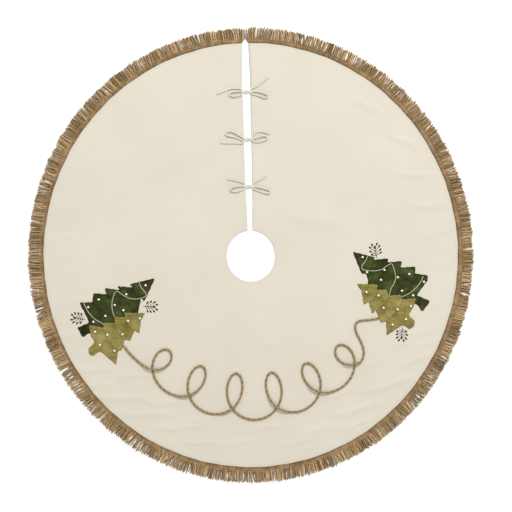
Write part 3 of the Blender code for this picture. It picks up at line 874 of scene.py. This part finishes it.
def make_trees():
    dark = velvet("dark_velvet", (0.088, 0.122, 0.036), (0.050, 0.062, 0.015),
                  (0.030, 0.031, 0.007), 0.03)
    olive = velvet("olive_velvet", (0.42, 0.355, 0.132), (0.31, 0.255, 0.074),
                   (0.20, 0.168, 0.040), 0.08)
    dark_thread = yarn("dark_thread", (0.055, 0.070, 0.028), (0.022, 0.028, 0.014), 0.3, 0.05)
    olive_thread = yarn("olive_thread", (0.36, 0.30, 0.12), (0.22, 0.18, 0.06), 0.3, 0.05)
    trees = {}
    for side in ("left", "right"):
        lower = Tree("dark_tree_" + side)
        upper = Tree("light_tree_" + side, lower, rim_shade=-0.4, rim_width=0.0018, lip_highlight=0.6)
        tuck_under(lower, upper)
        trees[side] = (lower, upper)
        for tree, kind, cloth, thread in ((lower, "dark", dark, dark_thread),
                                          (upper, "olive", olive, olive_thread)):
            piece = tree.make(f"{kind}_tree_{side}_velvet", cloth)
            settle(piece, kind + "_velvet", body_of(side), tree.node)
            stitches = edge_stitches(tree).make(f"{kind}_tree_{side}_stitches", thread)
            settle(stitches, kind + "_velvet", body_of(side))
    return trees


# The garlands' routes in mm
GARLANDS = {
    "garland_upper_left": [
        (-304, -66), (-300, -79), (-287, -97), (-289, -105), (-307, -111), (-328, -110),
        (-348, -101), (-366, -89), (-377, -108), (-380, -131), (-376, -153), (-373, -157)],
    "garland_lower_left": [
        (-404, -178), (-409, -174), (-427, -163), (-441, -148), (-450, -133), (-456, -119)],
    "garland_upper_right": [
        (317, -11), (310, -25), (300, -39), (304, -48), (329, -52), (352, -49), (371, -38),
        (383, -36), (391, -69), (386, -88), (378, -101), (372, -119)],
    "garland_lower_right": [
        (406, -125), (421, -118), (435, -110), (455, -90), (466, -70)],
}


def make_garlands(trees, material):
    for name, route in GARLANDS.items():
        tree = trees[name.split("_")[-1]][0]
        line = smooth_line([(x * MM, y * MM, 0) for x, y in route], 0.0011)
        line[:, 2] = tree.top(line[:, 0], line[:, 1]) + THREAD_RADIUS * 0.8
        shape = Shape()
        add_plied(shape, line, THREAD_RADIUS * 1.15, 2, 0.0052)
        settle(shape.make(name + "_thread", material), "garland_thread", body_of(name), name)


def add_bead(shape, centre):
    """A round bead, hardly flattened, with a dimple at each end of its bore, which lies level."""
    rings, sides, squash, dimple, dimple_width = 10, 18, 0.96, 0.16, 0.02
    tip = np.repeat(np.arange(1, rings) * pi / rings, sides)
    turn = np.tile(np.arange(sides) * 2 * pi / sides, rings - 1)
    ball = np.stack([np.sin(tip) * np.cos(turn), np.sin(tip) * np.sin(turn), np.cos(tip)], -1)
    points = np.vstack([(0, 0, 1), ball, (0, 0, -1)])
    points = points * (1 - dimple * np.exp(-(1 - np.abs(points[:, :1])) / dimple_width))
    last = 1 + (rings - 2) * sides
    faces = []
    for j in range(sides):
        k = (j + 1) % sides
        faces.append((0, 1 + j, 1 + k))
        faces += [(a + j, a + sides + j, a + sides + k, a + k) for a in range(1, last, sides)]
        faces.append((last + j, len(points) - 1, last + k))
    placed = points * BEAD_RADIUS * (1, 1, squash) + centre
    shape.add(placed, faces)


def make_beads(trees, pearl, thread):
    """Pearls where the CAD beads are, each held down by the thread through its bore."""
    half = [(0.92, 0.0), (1.2, -0.35), (1.55, -0.95)]     # out of the bore and down, in radii
    held = BEAD_RADIUS * np.array([(-x, 0, z) for x, z in half[::-1]] + [(0, 0, 0.02)]
                                  + [(x, 0, z) for x, z in half])
    groups = {}
    for name in sorted(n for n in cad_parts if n.startswith("bead_")):
        low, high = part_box(name)
        x, y = (low[0] + high[0]) / 2, (low[1] + high[1]) / 2
        side = "left" if x < 0 else "right"
        lower, upper = trees[side]
        on_upper = signed_depth(upper.outline, x, y)[0] > 0.001
        top = (upper if on_upper else lower).top(np.array([x]), np.array([y]))
        place = np.array((x, y, float(top[0]) + BEAD_RADIUS * 0.86))
        key = ("olive" if on_upper else "dark", side)
        beads, threads, names = groups.setdefault(key, (Shape(), Shape(), []))
        add_bead(beads, place)
        add_tube(threads, held + place, STITCH_RADIUS, 5, 0.6, chance.uniform(0, pi))
        names.append(name)
    for (kind, side), (beads, threads, names) in groups.items():
        settle(beads.make(f"{kind}_pearls_{side}", pearl), "pearl_bead", body_of(side), *names)
        settle(threads.make(f"{kind}_pearl_threads_{side}", thread), "garland_thread",
               body_of(side))


# Where each sprig's stem starts and its tip is, in mm
SPRIGS = {
    "sprig_outer_left": ((-457, -162), (-494, -156)),
    "sprig_inner_left": ((-292, -133), (-254, -135)),
    "sprig_upper_right": ((342, -14), (335, 24)),
    "sprig_lower_right": ((405, -210), (402, -247)),
}
# Degrees off the stem, and share of its length
TWIGS = [(58, 0.46), (42, 0.68), (27, 0.90), (12, 1.0), (0, 0.80), (-13, 1.0), (-27, 0.86),
         (-40, 0.66), (-57, 0.50)]


def add_leaf(shape, tip, way):
    """A satin-stitched leaf: a slim pointed dome of floss."""
    length, width, dome, rows, sides = 0.0074, 0.0048, 0.00045, 9, 8
    aside = np.array((-way[1], way[0]))
    turn = np.arange(sides) * 2 * pi / sides
    height = float(cloth_top(*tip)) + 0.0004
    points = []
    for t in np.linspace(0, 1, rows):
        share = max(0.06, sin(pi * min(0.97, 0.06 + t * 0.92)) ** 0.7)
        flat = tip - way * length * (1 - t) + np.outer(np.cos(turn), aside) * width / 2 * share
        points.append(np.column_stack([flat, height + dome * share * np.sin(turn)]))
    shape.add(points, tube_faces(rows, sides))


def add_stem(shape, a, b, radius):
    middle = (a + b) / 2 + np.array((a[1] - b[1], b[0] - a[0])) * 0.07
    line = smooth_line([(*a, 0), (*middle, 0), (*b, 0)], 0.0015)
    line[:, 2] = cloth_top(line[:, 0], line[:, 1]) + radius * 0.7
    add_tube(shape, line, radius, 5)


def make_sprigs(material):
    for name, (base, tip) in SPRIGS.items():
        base, tip = np.array(base) * MM, np.array(tip) * MM
        reach = np.linalg.norm(tip - base)
        way = (tip - base) / reach
        shape = Shape()
        add_stem(shape, base - way * 0.003, base + way * reach * 0.55, 0.0007)
        leaves = []
        for degrees, share in TWIGS:
            root = base + way * reach * share * (0.60 - 0.007 * abs(degrees))
            end = base + turned(way, radians(degrees)) * reach * share
            leaf_way = (end - root) / np.linalg.norm(end - root)
            add_stem(shape, root, end - leaf_way * 0.003, 0.0006)
            leaves.append((end, leaf_way))
        for end, leaf_way in leaves:
            add_leaf(shape, end, leaf_way)
        settle(shape.make(name + "_floss", material), "embroidery_floss", body_of(name), name)


# ---- rope

# The rope runs in loops along an arc round the middle of the skirt, and tails lead to the trees
LOOPS_PER_SIDE = 3
LOOP_ARC_RADIUS, LOOP_ARC = 0.385, radians(50)
LOOP_SWING = 2.6           # how far the loops swing back along the arc
LOOP_HEIGHT, LOOP_TAPER = 0.062, 0.42
TAIL_BLEND = 4             # how many points of the arc make room for the tails
ROPE_TAILS = {
    -1: [(-308, -285.5), (-331, -263), (-341, -251), (-351.2, -237.6)],
    1: [(298.5, -283), (298.5, -262), (291, -240), (281, -219), (278, -201), (285, -189),
        (299, -185.5), (318, -184.5), (341.8, -181)],
}


def loop_point(t):
    step = LOOP_ARC * LOOP_ARC_RADIUS / (2 * pi * LOOPS_PER_SIDE)
    along = step * (t + LOOP_SWING * sin(t))
    taper = 1 - LOOP_TAPER * (abs(t) / (2 * pi * LOOPS_PER_SIDE)) ** 2
    radius = LOOP_ARC_RADIUS + LOOP_HEIGHT * taper * cos(t)
    angle = along / LOOP_ARC_RADIUS
    return radius * sin(angle), -radius * cos(angle)


def crossing_swing():
    """How far before and after each turn the rope crosses itself, found by halving."""
    low, high = 0.5, pi
    for _ in range(40):
        middle = (low + high) / 2
        low, high = (middle, high) if middle < LOOP_SWING * sin(middle) else (low, middle)
    return low


def rope_lift(t, swing):
    """How far the rope rises to pass over itself, just after each loop."""
    reach, rise = 0.62, 0.0
    for loop in range(LOOPS_PER_SIDE):
        away = abs(abs(t) - ((2 * loop + 1) * pi + swing)) / reach
        rise = max(rise, 1.75 * ROPE_RADIUS * min(1.0, 1.25 * (1 - min(1.0, away) ** 2)))
    return rise


def rope_line():
    """The rope's whole route, from the left olive tree to the right one."""
    swing = crossing_swing()
    steps = 40 * LOOPS_PER_SIDE
    middle = []
    for i in range(-steps + TAIL_BLEND, steps - TAIL_BLEND + 1):
        t = 2 * pi * LOOPS_PER_SIDE * i / steps
        middle.append((*loop_point(t), rope_lift(t, swing)))
    tails = {side: [(x * MM, y * MM, 0) for x, y in points] for side, points in ROPE_TAILS.items()}
    route = tails[-1][::-1] + middle + tails[1]
    line = smooth_line(route, 0.0020)
    line[:, 2] = np.clip(line[:, 2], 0, None) + cloth_top(line[:, 0], line[:, 1])
    line[:, 2] += 0.8 * ROPE_RADIUS    # couched down a little into the cloth
    return line


def make_rope(twine, thread):
    line = rope_line()
    shape = Shape()
    add_plied(shape, line, ROPE_RADIUS * 0.95, 3, 0.0150, 7, tints=(0.45, 0.85, 0.65))
    settle(shape.make("jute_rope", twine), "jute_rope", None, "rope_left", "rope_right")
    couching = Shape()
    pitch, span, points = 0.016, 0.0012, 11
    along = distances(line)
    ahead = np.gradient(line, axis=0)
    ahead /= np.linalg.norm(ahead, axis=1)[:, None]
    arc = np.linspace(-0.28 * pi, 1.28 * pi, points)
    for start in np.arange(pitch / 2, along[-1], pitch):
        i = int(np.searchsorted(along, start))
        over = np.outer(np.cos(arc), np.cross(ahead[i], (0, 0, 1))) \
            + np.outer(np.sin(arc), (0, 0, 1))
        onward = np.outer(np.linspace(-0.5, 0.5, points), ahead[i]) * span
        add_tube(couching, line[i] + over * ROPE_RADIUS * 1.05 + onward, STITCH_RADIUS, 4, 0.6)
    settle(couching.make("rope_couching", thread), "jute_rope")


# ---- bows

# In mm: how far up the slit each bow is, and its cords' routes from there
BOWS = [
    {"y": 443,
     "right": [(4, 0), (12, 0), (27, 0), (42, -3.5), (53, -8), (59, -13), (56, -18), (47, -17.5),
               (36, -13), (20, -8), (13, -5.5), (10.5, 3), (14, 9), (27, 13), (41, 23),
               (60, 37)],
     "left": [(-8, 1), (-20, 1), (-34, 0.5), (-44, -1.5), (-47, -6), (-42, -11), (-28, -12),
              (-16, -8), (-11, -4), (-12, 6), (-22, 9), (-34, 10), (-47, 8), (-63, 2),
              (-80, -4)]},
    {"y": 314,
     "right": [(4, 0), (14, 0.5), (28, 4), (42, 8), (52, 7), (54, 1.5), (46, -4), (28, -8.5),
               (15, -6.5), (10.5, 3), (14, 12), (24, 18), (34, 20), (47, 17), (60, 13)],
     "left": [(-8, 2), (-20, 9), (-33, 18), (-46, 23.5), (-57, 20), (-58.5, 13.5), (-49, 10),
              (-34, 6), (-20, 0), (-12, -4), (-11, -9), (-18, -11), (-34, -9.5), (-54, -9),
              (-73, -8)]},
    {"y": 186,
     "right": [(4, 0), (13, -0.5), (27, -2.5), (42, -6.5), (53, -10), (58.5, -15), (55, -20),
               (46, -19.5), (36, -16), (20, -10.5), (12, -6.5), (10, 3), (14, 10), (24, 15),
               (36, 20), (49, 28)],
     "left": [(-8, 1), (-20, 1.5), (-36, 0.5), (-47, -2), (-51, -7), (-46, -12), (-34, -13),
              (-19, -9), (-12, -4), (-11, 7), (-18, 12), (-30, 15), (-44, 19), (-59, 22)]},
]


def make_ties(material):
    """The six cords: each a loop and a tail that lie on the cloth beside their knot."""
    step, loop_share, loop_rise, knot_rise = 0.0016, 0.56, 0.0040, 0.0018
    for number, bow in enumerate(BOWS, 1):
        for side in ("left", "right"):
            route = [(x * MM, (bow["y"] + dy) * MM, 0) for x, dy in bow[side]]
            line = smooth_line(route, step)
            for _ in range(6):
                line[1:-1] = 0.5 * line[1:-1] + 0.25 * (line[:-2] + line[2:])
            line = even_line(line, step)
            line[:, 2] = cloth_top(line[:, 0], line[:, 1]) + CORD_RADIUS
            along = distances(line)
            loop = np.clip(along / (loop_share * along[-1]), 0, 1)
            line[:, 2] += loop_rise * np.sin(pi * loop) ** 2 * (0.75 + 0.25 * np.sin(9 * loop))
            line[:, 2] += knot_rise * np.clip(1 - (np.abs(line[:, 0]) - 0.004) / 0.014, 0, 1)
            shape = Shape()
            add_plied(shape, line, CORD_RADIUS * 1.1, 2, CORD_PITCH, 8)
            name = f"tie_{side}_{number}"
            cord = settle(shape.make(name + "_cord", material), "cotton_cord", None, name)


def make_knots(material):
    """Each knot: cord wrapped round over the slit, and a stub down to either edge of it."""
    turns, half_width, height = 2.6, 0.0034, CLOTH_TOP + 0.0046
    turn = np.linspace(0, 2 * pi * turns, 60)
    for number, bow in enumerate(BOWS, 1):
        y = bow["y"] * MM
        shape = Shape()
        wraps = np.stack([half_width * (2 * turn / turn[-1] - 1), y + 0.0030 * np.cos(turn),
                          height + 0.0026 * np.sin(turn)], -1)
        add_plied(shape, wraps, CORD_RADIUS * 0.82, 2, CORD_PITCH)
        edge = float(slit_half(y))
        for way in (-1, 1):
            stub = [(way * x, y - way * aside, z) for x, aside, z in (
                (0.001, 0.0012, height), (0.005, 0.0020, height - 0.0006),
                (edge * 0.8, 0.0022, height - 0.0016), (edge + 0.003, 0.0020, CLOTH_TOP + 0.0014),
                (edge + 0.008, 0.0018, CLOTH_TOP + 0.0006))]
            add_plied(shape, smooth_line(stub, 0.0012), CORD_RADIUS * 0.8, 2, CORD_PITCH)
        settle(shape.make(f"knot_{number}", material), "cotton_cord")


# ---- stitching on the cloth

def make_topstitch(material):
    """Running stitches beside the trim, both edges of the slit and the edge of the hole."""
    inset = 0.0055
    rim_gap, hole_gap = 0.0145 / FACE_X, 0.17      # angles to the slit's middle
    rim = np.linspace(pi / 2 - rim_gap, -1.5 * pi + rim_gap, 900)
    hole = np.linspace(pi / 2 - hole_gap, -1.5 * pi + hole_gap, 160)
    rise = np.linspace(HOLE_Y + HOLE_Y_HALF + 0.006, FACE_Y - 0.006, 120)
    shape = Shape()
    for x, y in (oval(rim, -inset), (-slit_half(rise) - inset, rise),
                 (slit_half(rise) + inset, rise),
                 ((HOLE_X + inset) * np.cos(hole), HOLE_Y + (HOLE_Y_HALF + inset) * np.sin(hole))):
        add_stitches(shape, np.stack([x, y], -1), 0.0046, 0.0032, STITCH_RADIUS, cloth_top)
    return settle(shape.make("topstitch", material), "linen_face")


def main():
    make_camera()
    cotton = yarn("cotton_cord", (0.72, 0.68, 0.585), (0.54, 0.505, 0.42), 0.7, 0.1, 0.85)
    make_ties(cotton)
    make_knots(cotton)
    make_stage()
    face, lining = make_cloth()
    trim = make_trim()
    trees = make_trees()
    garland = yarn("garland_thread", (0.60, 0.59, 0.42), (0.38, 0.38, 0.25), 0.4, 0.1, 0.6)
    make_garlands(trees, garland)
    make_beads(trees, pearl_gloss("pearl"), garland)
    make_sprigs(yarn("embroidery_floss", (0.022, 0.022, 0.024), (0.006, 0.006, 0.007),
                     0.5, 0.0, 0.7))
    make_rope(yarn("jute_rope", (0.370, 0.262, 0.112), (0.060, 0.041, 0.014), 0.6, 0.03,
                   reach=0.62),
              yarn("couching_thread", (0.30, 0.22, 0.11), (0.16, 0.11, 0.05), 0.3, 0.05))
    topstitch = make_topstitch(yarn("stitch_thread", (0.60, 0.555, 0.46), (0.50, 0.46, 0.375),
                                    0.3, 0.05))


main()
